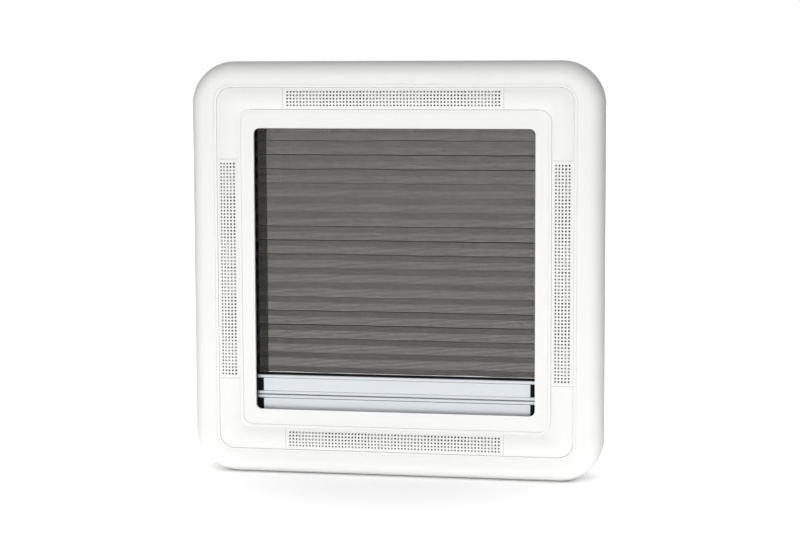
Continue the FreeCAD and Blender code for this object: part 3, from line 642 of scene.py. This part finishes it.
# The floor throws light back before the object and behind it: where that begins and is full
BRIGHT_BEFORE = (0.04, -0.06)
BRIGHT_BEHIND = (0.25, 0.5)
BRIGHT_WIDTH = (1.0, 0.5)
DIM_FLOOR = (0.05, 0.05, 0.05, 1)


def shows_background(nodes):
    """One for rays that show the background, none for rays that light."""
    rays = nodes.add("ShaderNodeLightPath").outputs
    return nodes.math("MAXIMUM", rays["Is Camera Ray"],
                      nodes.math("MAXIMUM", rays["Is Glossy Ray"], rays["Is Transmission Ray"]))


def make_world(scene):
    """White studio with a wide soft lamp before the object and another behind it."""
    world = bpy.data.worlds.new("Studio")
    world.use_nodes = True
    nodes = NodeTree(world.node_tree)
    background = world.node_tree.nodes["Background"]
    way = nodes.add("ShaderNodeTexCoord").outputs["Generated"]
    across, depth, height = nodes.add("ShaderNodeSeparateXYZ", Vector=way).outputs
    sides = nodes.soft_step(nodes.math("ABSOLUTE", across), *LAMP_SIDES)
    shape = nodes.math("MULTIPLY", sides, nodes.soft_step(height, *LAMP_TOP))
    light = FILL_LIGHT
    for sign, (strength, edge, full) in ((-1.0, FRONT_LAMP), (1.0, BACK_LAMP)):
        lamp = nodes.soft_step(nodes.math("MULTIPLY", depth, sign), edge, full, strength)
        light = nodes.math("ADD", nodes.math("MULTIPLY", lamp, shape), light)
    seen = shows_background(nodes)
    hidden = nodes.math("MULTIPLY", nodes.math("SUBTRACT", 1.0, seen), light)
    nodes.feed(background.inputs["Strength"], nodes.math("ADD", seen, hidden))
    background.inputs["Color"].default_value = (1, 1, 1, 1)
    scene.world = world


def make_floor(colour):
    """Floor that looks pale all over, but throws much light back only before and behind the object."""
    mesh = bpy.data.meshes.new("studio_floor")
    half = FLOOR_SIZE / 2
    low = CAD_BOX[0][2]
    mesh.from_pydata([(-half, -half, low), (half, -half, low), (half, half, low), (-half, half, low)],
                     [], [(0, 1, 2, 3)])
    floor = bpy.data.objects.new("studio_floor", mesh)
    bpy.context.collection.objects.link(floor)
    finish = Finish("Studio floor")
    finish.colour(colour, change=0.004, pattern=finish.noise(scale=0.6, detail=2))
    finish.roughness(low=0.85, high=0.95, pattern=finish.noise(scale=2, detail=2))
    finish.constant(Specular_IOR_Level=0.0)
    across, depth, _ = finish.add("ShaderNodeSeparateXYZ", Vector=finish.place).outputs
    lights = [finish.soft_step(depth, *reach) for reach in (BRIGHT_BEFORE, BRIGHT_BEHIND)]
    bounce = finish.math("MULTIPLY", finish.math("MAXIMUM", *lights),
                         finish.soft_step(finish.math("ABSOLUTE", across), *BRIGHT_WIDTH))
    pale = finish.math("MAXIMUM", shows_background(finish), bounce)
    dim = finish.add("ShaderNodeBsdfDiffuse", Color=DIM_FLOOR)
    mixed = finish.feed_in_order(finish.add("ShaderNodeMixShader"),
                                 (pale, dim.outputs[0], finish.shader.outputs[0]))
    finish.feed(finish.tree.nodes["Material Output"].inputs["Surface"], mixed)
    mesh.materials.append(finish.material)
    return floor


def make_floor_sun(floor):
    """Wide soft light from above that reaches the floor alone, for the shadow at the foot."""
    lamp = bpy.data.lights.new("Floor sun", "SUN")
    lamp.energy = FLOOR_SUN
    lamp.angle = SUN_ANGLE
    holder = bpy.data.objects.new("Floor sun", lamp)
    holder.rotation_euler = Vector(SUN_WAY).to_track_quat("-Z", "Y").to_euler()
    bpy.context.collection.objects.link(holder)
    receivers = bpy.data.collections.new("Floor sun receivers")
    receivers.objects.link(floor)
    holder.light_linking.receiver_collection = receivers


class ROOFLIGHT_OT_stage(RooflightOperator, bpy.types.Operator):
    """Set up the floor, the light and the camera"""
    bl_idname = "rooflight.stage"
    bl_label = "Stage"

    def build(self, sizes, colours):
        scene = bpy.context.scene
        scene.view_settings.view_transform = "Standard"
        make_world(scene)
        make_floor_sun(make_floor(colours.floor))
        lens = bpy.data.cameras.new("Camera")
        lens.sensor_width = SENSOR_WIDTH
        lens.lens = CAMERA_LENS
        camera = bpy.data.objects.new("Camera", lens)
        bpy.context.collection.objects.link(camera)
        turn = (CAMERA_AIM - CAMERA_PLACE).to_track_quat("-Z", "Y").to_matrix()
        camera.matrix_world = (Matrix.Translation(CAMERA_PLACE)
                               @ (turn @ Matrix.Rotation(CAMERA_ROLL, 3, "Z")).to_4x4())
        scene.camera = camera


class ROOFLIGHT_PT_panel(bpy.types.Panel):
    """Lists the steps that dress the rooflight"""
    bl_idname = "ROOFLIGHT_PT_panel"
    bl_label = "Rooflight"
    bl_space_type = "VIEW_3D"
    bl_region_type = "UI"
    bl_category = "Rooflight"

    def draw(self, context):
        for operator in OPERATORS:
            self.layout.operator(operator.bl_idname)
        for group in (context.scene.rooflight_sizes, context.scene.rooflight_colours):
            column = self.layout.column()
            for name in group.bl_rna.properties.keys():
                if name not in ("rna_type", "name"):
                    column.prop(group, name)


OPERATORS = (ROOFLIGHT_OT_trim, ROOFLIGHT_OT_vents, ROOFLIGHT_OT_bars, ROOFLIGHT_OT_screen,
             ROOFLIGHT_OT_blind, ROOFLIGHT_OT_roof_side, ROOFLIGHT_OT_stage)
CLASSES = (ROOFLIGHT_PG_sizes, ROOFLIGHT_PG_colours) + OPERATORS + (ROOFLIGHT_PT_panel,)


def register():
    for cls in CLASSES:
        bpy.utils.register_class(cls)
    bpy.types.Scene.rooflight_sizes = PointerProperty(type=ROOFLIGHT_PG_sizes)
    bpy.types.Scene.rooflight_colours = PointerProperty(type=ROOFLIGHT_PG_colours)


def unregister():
    del bpy.types.Scene.rooflight_colours
    del bpy.types.Scene.rooflight_sizes
    for cls in reversed(CLASSES):
        bpy.utils.unregister_class(cls)


def main():
    register()
    for operator in OPERATORS:
        group, name = operator.bl_idname.split(".")
        getattr(getattr(bpy.ops, group), name)()


if __name__ == "__main__":
    main()
